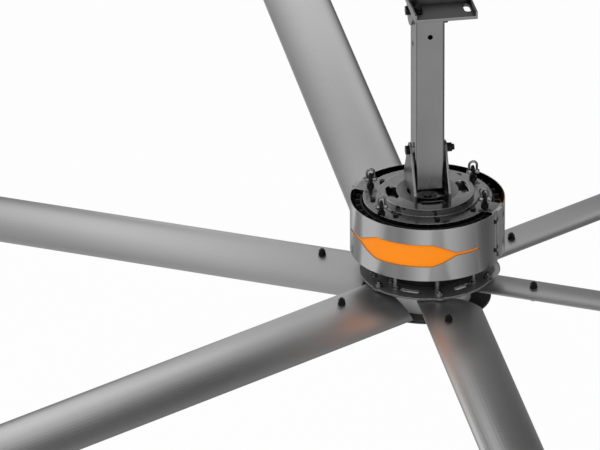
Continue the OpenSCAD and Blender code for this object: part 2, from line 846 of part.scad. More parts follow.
// The window: a wedge that cuts a pointed, lens-shaped hole in the curved sheet
module window_cut() {
    tip_x = shroud_r * cos(window_half_angle);
    depth = shroud_r - tip_x;
    reach = 2 * shroud_r;
    translate([0, reach / 2, z_rim - window_drop]) rotate([quarter_turn, 0, 0])
        linear_extrude(reach) polygon([
            [tip_x, 0],
            [tip_x + depth * window_mid_share, window_half_h * window_mid_h_share],
            [tip_x + depth * window_end_share, window_half_h * window_end_h_share],
            [shroud_r + overrun, window_half_h],
            [shroud_r + overrun, -window_half_h],
            [tip_x + depth * window_end_share, -window_half_h * window_end_h_share],
            [tip_x + depth * window_mid_share, -window_half_h * window_mid_h_share]
        ]);
}

// The coloured panel behind a window
module accent(turn) {
    r = shroud_r - shroud_t - seat_clear;
    over_angle = asin(panel_over / r);
    reach = window_half_angle + over_angle;
    color("darkorange") translate([0, 0, z_rim - window_drop - window_half_h - panel_over])
        rotate([0, 0, turn]) linear_extrude(2 * (window_half_h + panel_over))
            arc(r - panel_t, r, -reach, reach);
}

module shroud_screws() {
    color("black") for (turn = [strap_turn, strap_turn + half_turn]) for (s = [-1, 1])
        for (d = shroud_screw_drops) rotate([0, 0, turn + s * shroud_screw_angle])
            translate([shroud_r - shroud_t + seat_clear, 0, z_rim - d])
                rotate([0, quarter_turn, 0]) screw_down(m6_r, m6_head_r, shroud_screw_out,
                    flange_t + strap_t + fit_clear + seat_clear);
}

// Motor, fixed half

module stator_shaft() {
    seat_gap = shaft_hub_gap;
    z_hub_top = z_upper_bearing - seat_gap;
    z_hub_low = z_drum + drum_floor_t + seat_gap;
    color("silver") difference() {
        rotate_extrude() polygon([
            [0, z_plate_top + shaft_tip_h],
            [shaft_tip_r - shaft_chamfer, z_plate_top + shaft_tip_h],
            [shaft_tip_r, z_plate_top + shaft_tip_h - shaft_chamfer],
            [shaft_tip_r, z_plate_top],
            [plate_hole_r - fit_clear, z_plate_top],
            [plate_hole_r - fit_clear, z_plate],
            [flange_r, z_plate],
            [flange_r, z_plate - flange_h],
            [shaft_r, z_plate - flange_h],
            [shaft_r, z_hub_top],
            [shaft_hub_r, z_hub_top],
            [shaft_hub_r, z_hub_low],
            [shaft_r, z_hub_low],
            [shaft_r, z_lower_bearing - lock_nut_h - seat_clear],
            [0, z_lower_bearing - lock_nut_h - seat_clear]
        ]);
        around(plate_bolt_count)
            translate([plate_bolt_circle_r, 0, z_plate - flange_h - overrun])
                cylinder(r = m8_r + seat_clear, h = flange_h + 2 * overrun, $fn = small);
        around(ring_screw_count)
            translate([mount_screw_circle_r, 0, z_plate - flange_h - overrun]) union() {
                cylinder(r = m6_r + seat_clear, h = flange_h + 2 * overrun, $fn = small);
                cylinder(r = m6_head_r + seat_clear, h = m6_head_h + overrun, $fn = small);
            }
    }
}

module stator_core() {
    color("slategray") translate([0, 0, z_core]) linear_extrude(core_h) difference() {
        circle(r = core_r);
        circle(r = shaft_hub_r);
        for (i = [0 : coil_count - 1]) rotate(i * full_turn / coil_count)
            translate([core_slot_in_r, -core_slot_w / 2])
                square([core_r - core_slot_in_r + overrun, core_slot_w]);
    }
}

// Copper end turns above and below the core, one pair on each tooth
module stator_windings() {
    color("orange") for (z = [z_core_top + seat_clear, z_core - coil_h - seat_clear])
        around(coil_count, full_turn / coil_count / 2)
            translate([coil_in_r + coil_wall / 2, -coil_wall / 2, z])
                cube([coil_out_r - coil_in_r - coil_wall / 2, coil_wall, coil_h]);
}

module shaft_lock_nut() {
    color("dimgray") translate([0, 0, z_lower_bearing - lock_nut_h - seat_clear])
        ring(shaft_r, lock_nut_r, lock_nut_h);
}

// Motor, turning half

module rotor_drum() {
    color("black") difference() {
        union() {
            rotate_extrude() polygon([
                [drum_skirt_r, z_drum_top],
                [drum_r, z_drum_top],
                [drum_r, z_drum],
                [boss_r, z_drum],
                [boss_r, z_ring_top],
                [boss_r - boss_wall, z_ring_top],
                [boss_r - boss_wall, z_drum],
                [bearing_r + seat_wall, z_drum],
                [bearing_r + seat_wall, z_drum - lower_seat_h],
                [bearing_r - bearing_seat_floor, z_drum - lower_seat_h],
                [bearing_r - bearing_seat_floor, z_lower_bearing],
                [bearing_r, z_lower_bearing],
                [bearing_r, z_drum + drum_floor_t],
                [drum_bore_r, z_drum + drum_floor_t],
                [drum_bore_r, z_shield],
                [drum_skirt_r, z_shield]
            ]);
            translate([0, 0, z_drum]) linear_extrude(drum_h)
                for (i = [0 : fin_count - 1]) rotate(i * full_turn / fin_count)
                    translate([drum_r - overrun, -fin_t / 2])
                        square([fin_r - drum_r + overrun, fin_t]);
        }
        around(stud_count) translate([stud_circle_r, 0, z_drum - overrun])
            cylinder(r = stud_r + seat_clear, h = drum_floor_t + overrun + overrun, $fn = small);
        around(shield_screw_count) translate([shield_screw_circle_r, 0, z_shield - shield_screw_l])
            cylinder(r = m6_r + seat_clear, h = shield_screw_l + overrun, $fn = small);
        around(blade_count, blade_turn) translate([hub_screw_circle_r, 0, z_ring_top - overrun])
            cylinder(r = m8_r + seat_clear, h = hub_screw_l, $fn = small);
    }
}

module end_shield() {
    color("dimgray") difference() {
        union() {
            translate([0, 0, z_shield]) ring(bearing_r, drum_skirt_r - fit_clear, shield_t);
            translate([0, 0, z_upper_bearing]) ring(bearing_r, bearing_r + seat_wall,
                bearing_h - shield_t + overrun);
        }
        around(shield_screw_count) translate([shield_screw_circle_r, 0, z_shield - overrun])
            cylinder(r = m6_r + fit_clear, h = shield_t + 2 * overrun, $fn = small);
    }
}

module end_shield_screws() {
    color("silver") around(shield_screw_count)
        translate([shield_screw_circle_r, 0, z_shield_top])
            screw_down(m6_r, m6_head_r, m6_head_h, shield_t + shield_screw_l - overrun);
}

module rotor_magnets() {
    color("darkgray") intersection() {
        around(magnet_count) translate([drum_bore_r - magnet_t - overrun, -magnet_w / 2, z_core])
            cube([magnet_t + 2 * overrun, magnet_w, core_h]);
        translate([0, 0, z_core]) ring(drum_bore_r - magnet_t, drum_bore_r - seat_clear, core_h);
    }
}

module bearing(z) {
    color("silver") translate([0, 0, z])
        ring(shaft_r + bearing_clear, bearing_r - bearing_clear, bearing_h);
}

// Hub

module standoff_studs() {
    color("dimgray") around(stud_count) translate([stud_circle_r, 0, 0]) union() {
        translate([0, 0, z_ring])
            cylinder(r = stud_r, h = z_drum + drum_floor_t - z_ring, $fn = small);
        translate([0, 0, z_ring_top]) cylinder(r = stud_collar_r + washer_over, h = washer_t, $fn = small);
        translate([0, 0, z_ring_top + washer_t]) cylinder(r = stud_collar_r, h = stud_nut_h, $fn = hex);
        translate([0, 0, z_drum - stud_nut_h]) cylinder(r = stud_collar_r, h = stud_nut_h, $fn = hex);
    }
}

module ring_plate() {
    color("dimgray") translate([0, 0, z_ring]) linear_extrude(ring_t) difference() {
        union() {
            circle(r = ring_r);
            for (i = [0 : blade_count - 1]) rotate(blade_turn + i * full_turn / blade_count)
                translate([lobe_bolt_r, 0]) circle(r = lobe_r, $fn = fine);
        }
        circle(r = ring_in_r);
        for (i = [0 : blade_count - 1]) rotate(blade_turn + i * full_turn / blade_count) {
            translate([lobe_bolt_r, 0]) circle(r = m10_r + fit_clear, $fn = small);
            translate([inner_bolt_r, 0]) circle(r = m8_r + fit_clear, $fn = small);
            translate([hub_screw_circle_r, 0]) circle(r = m8_r + fit_clear, $fn = small);
            rotate(full_turn / blade_count / 2) kidney(arc_in_r, arc_out_r, arc_half_angle);
        }
        for (i = [0 : stud_count - 1]) rotate(i * full_turn / stud_count)
            translate([stud_circle_r, 0]) circle(r = stud_r + fit_clear, $fn = small);
    }
}

module hub_cylinder() {
    color("lightgray") difference() {
        union() {
            translate([0, 0, z_hub]) ring(hub_r - hub_wall, hub_r, z_ring - z_hub);
            translate([0, 0, z_ring - hub_flange_h]) ring(hub_flange_r, hub_r, hub_flange_h);
            translate([0, 0, z_hub]) ring(hub_flange_r, hub_r, hub_flange_h);
        }
        around(blade_count, blade_turn) translate([hub_screw_circle_r, 0, z_hub - overrun])
            cylinder(r = m8_r + fit_clear, h = z_ring - z_hub + 2 * overrun, $fn = small);
    }
}

module hub_screws() {
    color("black") around(blade_count, blade_turn)
        translate([hub_screw_circle_r, 0, z_ring - hub_flange_h]) rotate([half_turn, 0, 0])
            screw_down(m8_r, m8_head_r, m8_head_h, hub_flange_h + ring_t + hub_screw_l - 2 * overrun);
}

module bottom_cover() {
    color("dimgray") difference() {
        rotate_extrude() polygon([
            [0, z_cover],
            [cover_r - cover_round, z_cover],
            [cover_r, z_cover + cover_round],
            [cover_r, z_cover + cover_rim_h],
            [cover_r - cover_wall, z_cover + cover_rim_h],
            [cover_r - cover_wall, z_cover + cover_t],
            [0, z_cover + cover_t]
        ]);
        around(blade_count, blade_turn) translate([hub_screw_circle_r, 0, z_cover - overrun])
            cylinder(r = m8_r + fit_clear, h = cover_t + 2 * overrun, $fn = small);
    }
}

module cover_screws() {
    color("black") around(blade_count, blade_turn)
        translate([hub_screw_circle_r, 0, z_cover]) rotate([half_turn, 0, 0])
            screw_down(m8_r, m8_head_r, m8_head_h - thread_tail * half, cover_t + hub_flange_h);
}

// Blades

// Height of the upper skin at a place along the chord: 1 is the leading end, -1 the trailing end
function crown_at(s, crown) = crown * pow(max(0, 1 - pow(abs(s), skin_power)),
    s > 0 ? lead_power : trail_power);
function belly_at(s, belly) = -belly * pow(max(0, 1 - s * s), belly_power);

// Section of the blade with its leading end to the left
module blade_section(chord, crown, belly) {
    upper = [for (i = [0 : skin_points]) let (s = cos(i * half_turn / skin_points))
        [-s * chord / 2, crown_at(s, crown)]];
    lower = [for (i = [1 : skin_points - 1]) let (s = -cos(i * half_turn / skin_points))
        [-s * chord / 2, belly_at(s, belly)]];
    polygon(concat(upper, lower));
}

// Puts a section in place across the radius, pitched, with the strut line on the radius
module pitched() {
    translate([blade_trail, z_blade]) rotate(-blade_pitch) children();
}

module hollow_section() {
    difference() {
        blade_section(blade_chord, blade_crown, blade_belly);
        difference() {
            blade_section(blade_chord - 2 * nose_wall, blade_crown - blade_skin,
                blade_belly - blade_skin);
            for (x = [-strut_lead - web_reach - web_t, -strut_lead + web_reach])
                translate([x, -blade_belly]) square([web_t, blade_belly + blade_crown]);
        }
    }
}

module blade(i) {
    color("silver") rotate([0, 0, blade_turn + i * full_turn / blade_count]) difference() {
        translate([blade_root_r, 0, 0]) across_x(fan_d / 2 - cap_t - blade_root_r)
            pitched() hollow_section();
        for (r = [lobe_bolt_r, blade_bolt_r]) translate([r, 0, z_blade - 2 * blade_crown])
            cylinder(r = m10_r + fit_clear, h = 4 * blade_crown, $fn = small);
    }
}

module blade_end_caps() {
    color("black") around(blade_count, blade_turn) union() {
        translate([fan_d / 2 - cap_t, 0, 0]) across_x(cap_t) pitched()
            blade_section(blade_chord, blade_crown, blade_belly);
        translate([fan_d / 2 - cap_t - cap_plug, 0, 0]) across_x(cap_plug) pitched()
            translate([-strut_lead - strut_w / 2, 0]) square([strut_w, strut_t]);
    }
}

// A strut: a flat-topped head under the ring plate and a pitched bar inside the blade
module strut() {
    difference() {
        union() {
            translate([strut_start_r, 0, 0]) across_x(strut_l) pitched()
                translate([-strut_lead - strut_w / 2, strut_rise - strut_t / 2])
                    square([strut_w, strut_t]);
            translate([strut_start_r, -strut_w / 2 + strut_side_clear, z_ring - head_h])
                cube([strut_head_l, strut_w - 2 * strut_side_clear, head_h]);
        }
        translate([inner_bolt_r, 0, z_blade - 2 * blade_crown])
            cylinder(r = m8_r + seat_clear, h = 4 * blade_crown, $fn = small);
        for (r = [lobe_bolt_r, blade_bolt_r]) translate([r, 0, z_blade - 2 * blade_crown])
            cylinder(r = m10_r + seat_clear, h = 4 * blade_crown, $fn = small);
    }
}

module blade_struts() {
    color("gray") around(blade_count, blade_turn) strut();
}

// Through bolts: their heads are under the blade, and a nut and a thread tail stand on top
module through_bolt(at_r, z_seat, z_low, r, head_r, head_h, nut_h) {
    translate([at_r, 0, 0]) union() {
        translate([0, 0, z_low])
            cylinder(r = r, h = z_seat - z_low + washer_t + nut_h + thread_tail, $fn = small);
        translate([0, 0, z_seat]) cylinder(r = head_r + washer_over, h = washer_t, $fn = small);
        translate([0, 0, z_seat + washer_t]) cylinder(r = head_r, h = nut_h, $fn = hex);
        translate([0, 0, z_low - head_h]) cylinder(r = head_r, h = head_h, $fn = hex);
    }
}
// Skins on the radius, worked out from the section and its pitch
blade_top_z = z_blade + strut_lead * sin(blade_pitch) + (crown_at(2 * strut_lead / blade_chord,
    blade_crown)) / cos(blade_pitch);
blade_low_z = z_blade + blade_trail * tan(blade_pitch) - blade_belly / cos(blade_pitch);
strut_low_z = z_blade + blade_trail * tan(blade_pitch)
    + (strut_rise - strut_t / 2) / cos(blade_pitch);

module ring_bolts() {
    color("dimgray") around(blade_count, blade_turn) {
        through_bolt(lobe_bolt_r, z_ring_top, blade_low_z - head_seat_drop,
            m10_r, m10_head_r, m10_head_h, m10_nut_h);
        through_bolt(inner_bolt_r, z_ring_top, strut_low_z - head_seat_drop,
            m8_r, m8_head_r, m8_head_h, m8_head_h);
    }
}

module blade_bolts() {
    color("black") around(blade_count, blade_turn)
        through_bolt(blade_bolt_r, blade_top_z + bolt_seat_rise, blade_low_z - head_seat_drop,
            m10_r, m10_head_r, m10_head_h, m10_nut_h);
}

ceiling_plate();
riser(-riser_span / 2);  // riser_front
riser(riser_span / 2 - riser_t);  // riser_rear
hanger_channel();
ear(-ear_x - clevis_t);  // ear_left
ear(ear_x);  // ear_right
pivot_bolt(z_upper_pivot);  // upper_bolt
pivot_nut(z_upper_pivot);  // upper_nut
pivot_washers(z_upper_pivot);  // upper_washers
drop_tube();
clevis(-ear_x - clevis_t);  // clevis_left
clevis(ear_x);  // clevis_right
pivot_bolt(z_lower_pivot);  // lower_bolt
pivot_nut(z_lower_pivot);  // lower_nut
pivot_washers(z_lower_pivot);  // lower_washers
base_plate();
base_lock_screws();
mount_ring();
mount_ring_screws();
motor_top_plate();
top_plate_bolts();
eyebolts();
shackle(0);  // shackle_1
shackle(1);  // shackle_2
shackle(2);  // shackle_3
shackle(3);  // shackle_4
strap(strap_turn);  // strap_right
strap(strap_turn + half_turn);  // strap_left
shroud_half(strap_turn + half_turn);  // shroud_front
shroud_half(strap_turn);  // shroud_back
accent(window_turn);  // accent_front
accent(window_turn + half_turn);  // accent_back
shroud_screws();
stator_shaft();
stator_core();
stator_windings();
shaft_lock_nut();
rotor_drum();
end_shield();
end_shield_screws();
rotor_magnets();
bearing(z_upper_bearing);  // upper_bearing
bearing(z_lower_bearing);  // lower_bearing
standoff_studs();
ring_plate();
hub_cylinder();
hub_screws();
bottom_cover();
cover_screws();
ring_bolts();
blade_struts();
blade(0);  // blade_1
blade(1);  // blade_2
blade(2);  // blade_3
blade(3);  // blade_4
blade(4);  // blade_5
blade(5);  // blade_6
blade_bolts();
blade_end_caps();
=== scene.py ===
"""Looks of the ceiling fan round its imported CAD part: materials, fine detail, light and the camera."""

import json
import math

import bmesh
import bpy
from mathutils import Matrix, Vector


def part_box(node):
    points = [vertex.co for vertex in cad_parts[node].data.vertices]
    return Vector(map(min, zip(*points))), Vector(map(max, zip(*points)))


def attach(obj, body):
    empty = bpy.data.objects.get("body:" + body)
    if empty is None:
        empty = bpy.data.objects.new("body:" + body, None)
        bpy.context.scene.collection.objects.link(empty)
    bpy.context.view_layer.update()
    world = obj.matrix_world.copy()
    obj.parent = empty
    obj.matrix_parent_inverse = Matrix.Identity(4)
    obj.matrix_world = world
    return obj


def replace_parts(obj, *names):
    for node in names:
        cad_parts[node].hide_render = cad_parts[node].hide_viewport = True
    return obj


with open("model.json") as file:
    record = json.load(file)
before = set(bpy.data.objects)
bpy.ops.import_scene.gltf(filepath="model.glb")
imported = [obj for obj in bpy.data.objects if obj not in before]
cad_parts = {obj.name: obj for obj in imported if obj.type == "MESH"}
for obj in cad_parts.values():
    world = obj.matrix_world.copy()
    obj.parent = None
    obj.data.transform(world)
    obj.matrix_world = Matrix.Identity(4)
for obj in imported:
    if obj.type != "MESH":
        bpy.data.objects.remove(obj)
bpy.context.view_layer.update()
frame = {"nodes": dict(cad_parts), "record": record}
nodes = frame["nodes"]

MM = 0.001
# Farther off than any place on the fan
FAR = 9.0
UP = Vector((0, 0, 1))
RIGHT = Vector((1, 0, 0))


def add_object(name, data):
    obj = bpy.data.objects.new(name, data)
    bpy.context.scene.collection.objects.link(obj)
    return obj


# Camera

CAMERA_AT = (-2.809, -15.5642, 6.8932)
CAMERA_AZIMUTH = math.radians(-8.986)
CAMERA_ELEVATION = math.radians(26.071)
CAMERA_ROLL = math.radians(-0.474)
LENS_MM = 391.67
SENSOR_MM = 36
NEAREST_SEEN = 0.5
FARTHEST_SEEN = 120


def make_camera():
    a, e, r = CAMERA_AZIMUTH, CAMERA_ELEVATION, CAMERA_ROLL
    back = Vector((math.sin(a) * math.cos(e), -math.cos(a) * math.cos(e), math.sin(e)))
    flat_right = Vector((math.cos(a), math.sin(a), 0))
    flat_up = back.cross(flat_right)
    right = flat_right * math.cos(r) + flat_up * math.sin(r)
    up = flat_up * math.cos(r) - flat_right * math.sin(r)
    data = bpy.data.cameras.new("camera")
    data.lens = LENS_MM
    data.sensor_width = SENSOR_MM
    data.clip_start = NEAREST_SEEN
    data.clip_end = FARTHEST_SEEN
    camera = add_object("camera", data)
    turn = Matrix((right, up, back)).transposed().to_4x4()
    camera.matrix_world = Matrix.Translation(CAMERA_AT) @ turn
    bpy.context.scene.camera = camera


make_camera()
bpy.context.scene.view_settings.view_transform = "Standard"


# Shader nodes

def grey(value):
    return (value, value, value, 1.0)


BLACK = grey(0.0)
WHITE = grey(1.0)


class Tree:
    """Short calls to add and join shader nodes."""

    def __init__(self, tree):
        self.tree = tree
        self.nodes = tree.nodes
        self.nodes.clear()

    def add(self, kind, **settings):
        made = self.nodes.new("ShaderNode" + kind)
        for name, value in settings.items():
            setattr(made, name, value)
        return made

    def join(self, source, target):
        self.tree.links.new(source, target)

    def put(self, socket, value):
        """Sets a socket to a number or colour, or joins it to another socket."""
        if isinstance(value, bpy.types.NodeSocket):
            self.join(value, socket)
        else:
            socket.default_value = value

    def math(self, operation, a, b=0.0):
        made = self.add("Math", operation=operation)
        self.put(made.inputs[0], a)
        self.put(made.inputs[1], b)
        return made.outputs[0]

    def from_vectors(self, operation, a, b=None):
        """A number worked out from one or two vectors."""
        made = self.add("VectorMath", operation=operation)
        self.join(a, made.inputs[0])
        if b is not None:
            self.join(b, made.inputs[1])
        return made.outputs["Value"]

    def split(self, vector):
        made = self.add("SeparateXYZ")
        self.join(vector, made.inputs[0])
        return made.outputs

    def range(self, value, low, high, to_low, to_high, smooth=False):
        made = self.add("MapRange", clamp=True)
        if smooth:
            made.interpolation_type = "SMOOTHSTEP"
        self.join(value, made.inputs["Value"])
        made.inputs["From Min"].default_value = low
        made.inputs["From Max"].default_value = high
        made.inputs["To Min"].default_value = to_low
        made.inputs["To Max"].default_value = to_high
        return made.outputs["Result"]

    def mix(self, share, a, b):
        made = self.add("Mix", data_type="RGBA")
        self.join(share, made.inputs["Factor"])
        self.put(made.inputs["A"], a)
        self.put(made.inputs["B"], b)
        return made.outputs["Result"]

    def noise(self, vector, scale, detail, rough):
        made = self.add("TexNoise")
        self.join(vector, made.inputs["Vector"])
        made.inputs["Scale"].default_value = scale
        made.inputs["Detail"].default_value = detail
        made.inputs["Roughness"].default_value = rough
        return made.outputs["Fac"]

    def scaled(self, vector, scale):
        made = self.add("Mapping")
        self.join(vector, made.inputs["Vector"])
        made.inputs["Scale"].default_value = scale
        return made.outputs["Vector"]

    def background(self, color):
        made = self.add("Background")
        self.put(made.inputs["Color"], color)
        return made

    def shader_mix(self, share, a, b):
        made = self.add("MixShader")
        self.join(share, made.inputs[0])
        self.join(a.outputs[0], made.inputs[1])
        self.join(b.outputs[0], made.inputs[2])
        return made

    def seen_directly(self, light_path):
        """1 for rays that come from the camera, through glass or not, and 0 for all others."""
        return self.math("MAXIMUM", light_path.outputs["Is Camera Ray"],
                         light_path.outputs["Is Transmission Ray"])


def new_material(name):
    material = bpy.data.materials.new(name)
    material.use_nodes = True
    return material, Tree(material.node_tree)


# World: white behind the object, and a studio of soft light in reflections

# Brightness round the horizon in reflections, in degrees from +X and turning towards +Y:
# below the horizon, a little over it and high up
LOW = ((0, 0.11), (12, 0.14), (30, 0.22), (70, 0.3), (94, 0.33), (106, 0.36), (117, 0.8),
       (128, 0.86), (146, 0.66), (160, 0.66), (173, 0.74), (183, 0.64), (193, 0.42), (205, 0.28),
       (217, 0.25), (230, 0.36), (242, 0.5), (253, 0.66), (264, 0.64), (290, 0.6), (303, 0.5),
       (318, 0.36), (334, 0.24), (352, 0.12))
MIDDLE = ((0, 0.17), (30, 0.1), (60, 0.08), (90, 0.18), (120, 0.35), (150, 0.52), (180, 0.57),
          (210, 0.5), (240, 0.45), (262, 0.7), (290, 0.7), (322, 0.3), (340, 0.2))
HIGH = ((0, 0.15), (40, 0.09), (62, 0.09), (90, 0.11), (120, 0.17), (150, 0.26), (180, 0.3),
        (225, 0.4), (255, 1.0), (290, 1.1), (325, 0.3))
# Heights, as sines of the elevation, between which one band passes into the next
LOW_TO_MIDDLE = (-0.2, 0.05)
MIDDLE_TO_HIGH = (0.35, 0.8)


def round_ramp(t, share, table):
    ramp = t.add("ValToRGB")
    ramp.color_ramp.interpolation = "B_SPLINE"
    stops = ramp.color_ramp.elements
    while len(stops) < len(table) + 1:
        stops.new(0.5)
    for stop, (degrees, value) in zip(stops, table + ((360, table[0][1]),)):
        stop.position = degrees / 360
        stop.color = grey(value)
    t.join(share, ramp.inputs["Fac"])
    return ramp.outputs["Color"]


def make_world():
    world = bpy.data.worlds.new("studio")
    bpy.context.scene.world = world
    world.use_nodes = True
    t = Tree(world.node_tree)
    x, y, z = t.split(t.add("TexCoord").outputs["Generated"])
    full_turns = t.math("DIVIDE", t.math("ARCTAN2", y, x), 2 * math.pi)
    share = t.math("FRACT", t.math("ADD", full_turns, 1.0))
    low, middle, high = [round_ramp(t, share, table) for table in (LOW, MIDDLE, HIGH)]
    shine = t.mix(t.range(z, *LOW_TO_MIDDLE, 0.0, 1.0, smooth=True), low, middle)
    shine = t.mix(t.range(z, *MIDDLE_TO_HIGH, 0.0, 1.0, smooth=True), shine, high)
    light_path = t.add("LightPath")
    indirect = t.shader_mix(light_path.outputs["Is Glossy Ray"], t.background(WHITE),
                            t.background(shine))
    surface = t.shader_mix(t.seen_directly(light_path), indirect, t.background(WHITE))
    t.join(surface.outputs[0], t.add("OutputWorld").inputs["Surface"])


make_world()


# Floor, reflected panels and lamp

FLOOR_Z = -4.2
FLOOR_HALF = 40.0
FLOOR_TONE = 0.9
# How much of the floor's look is plain white to the camera: the rest takes the shadow
FLOOR_WHITE = 0.8

# Soft panels near the fan: place, radius at which they fade, and brightness
PANELS = (((-0.8, 2.5, 1.0), 0.6, 0.72), ((-0.1, 3.2, -0.4), 0.32, 0.75),
          ((2.0, 6.7, 4.5), 0.65, 2.0), ((-0.8, 1.1, 1.0), 0.6, 0.56),
          ((0.6, 3.9, 0.3), 0.32, 0.6))
PANEL_AIM = Vector((0, 0, -0.9))
# A panel's disc is this many times as wide as the radius at which it fades
PANEL_REACH = 3
PANEL_SIDES = 48

LAMP_AT = Vector((-4.0, -5.0, 5.0))
LAMP_AIM = Vector((0, 0, -0.8))
LAMP_SIZE = 5.0
LAMP_POWER = 160


def turn_to(obj, at, aim):
    """Puts an object at a place with its front towards another."""
    obj.location = at
    obj.rotation_mode = "QUATERNION"
    obj.rotation_quaternion = (Vector(at) - aim).to_track_quat("Z", "Y")


def make_floor():
    mesh = bpy.data.meshes.new("floor")
    h = FLOOR_HALF
    mesh.from_pydata([(-h, -h, FLOOR_Z), (h, -h, FLOOR_Z), (h, h, FLOOR_Z), (-h, h, FLOOR_Z)],
                     [], [(0, 1, 2, 3)])
    floor = add_object("floor", mesh)
    floor.visible_glossy = False
    material, t = new_material("pale_floor")
    paint = t.add("BsdfDiffuse")
    paint.inputs["Color"].default_value = grey(FLOOR_TONE)
    glow = t.add("Emission")
    glow.inputs["Color"].default_value = WHITE
    direct = t.seen_directly(t.add("LightPath"))
    surface = t.shader_mix(t.math("MULTIPLY", direct, FLOOR_WHITE), paint, glow)
    t.join(surface.outputs[0], t.add("OutputMaterial").inputs["Surface"])
    mesh.materials.append(material)


def make_panel(index, at, radius, strength):
    """A disc that only shows in reflections and fades towards its rim."""
    mesh = bpy.data.meshes.new("panel_%d" % index)
    form = bmesh.new()
    bmesh.ops.create_circle(form, cap_ends=True, radius=PANEL_REACH * radius, segments=PANEL_SIDES)
    form.to_mesh(mesh)
    form.free()
    panel = add_object("panel_%d" % index, mesh)
    turn_to(panel, at, PANEL_AIM)
    for ray in ("camera", "diffuse", "shadow", "transmission", "volume_scatter"):
        setattr(panel, "visible_" + ray, False)
    material, t = new_material("soft_panel_%d" % index)
    length = t.from_vectors("LENGTH", t.add("TexCoord").outputs["Object"])
    away = t.math("DIVIDE", length, radius)
    fall = t.math("EXPONENT", t.math("MULTIPLY", t.math("MULTIPLY", away, away), -0.5))
    glow = t.add("Emission")
    t.join(t.math("MULTIPLY", fall, strength), glow.inputs["Strength"])
    both = t.add("AddShader")
    t.join(t.add("BsdfTransparent").outputs[0], both.inputs[0])
    t.join(glow.outputs[0], both.inputs[1])
    t.join(both.outputs[0], t.add("OutputMaterial").inputs["Surface"])
    mesh.materials.append(material)


def make_lamp():
    data = bpy.data.lights.new("key", "AREA")
    data.shape = "SQUARE"
    data.size = LAMP_SIZE
    data.energy = LAMP_POWER
    lamp = add_object("key", data)
    turn_to(lamp, LAMP_AT, LAMP_AIM)
    lamp.visible_glossy = False


make_floor()
for index, panel in enumerate(PANELS):
    make_panel(index, *panel)
make_lamp()


# Materials

# Distances from the axis between which the blades' skin passes from its rougher to its smoother part
NEAR_HUB = 0.45
FAR_FROM_HUB = 0.9
# Painted shade darkens the plates' tops from the first place on towards the second, in front
MIDDLE_Y = -0.03
FRONT_Y = -0.13
# A cylinder is rolled out flat for its grain as if it had this radius
ROLLED_R = 0.2
# Noise values between which a pattern goes from its least to its most
GRAIN_RANGE = (0.25, 0.75)
PATCH_RANGE = (0.3, 0.7)
SCUFF_RANGE = (0.3, 0.6)
SCUFF_SCALE = 260.0
# An edge shows wear and a painted highlight where its rounded normal leaves the flat one, from the
# second to the first cosine
RIM_RANGE = (0.90, 0.995)
ROUGH_SPREAD = 0.7
LEAST_ROUGH = 0.02
RELIEF_DEPTH = 0.0004
EDGE_SAMPLES = 4
SHADE_SAMPLES = 8
SHADE_POWER = 1.5
# A face looks inwards where its normal times its place from the axis is below this
LOOKS_INWARDS = -0.08
# Tone of the painted shade inside the square tube
BORE_SHADE_TONE = 0.004


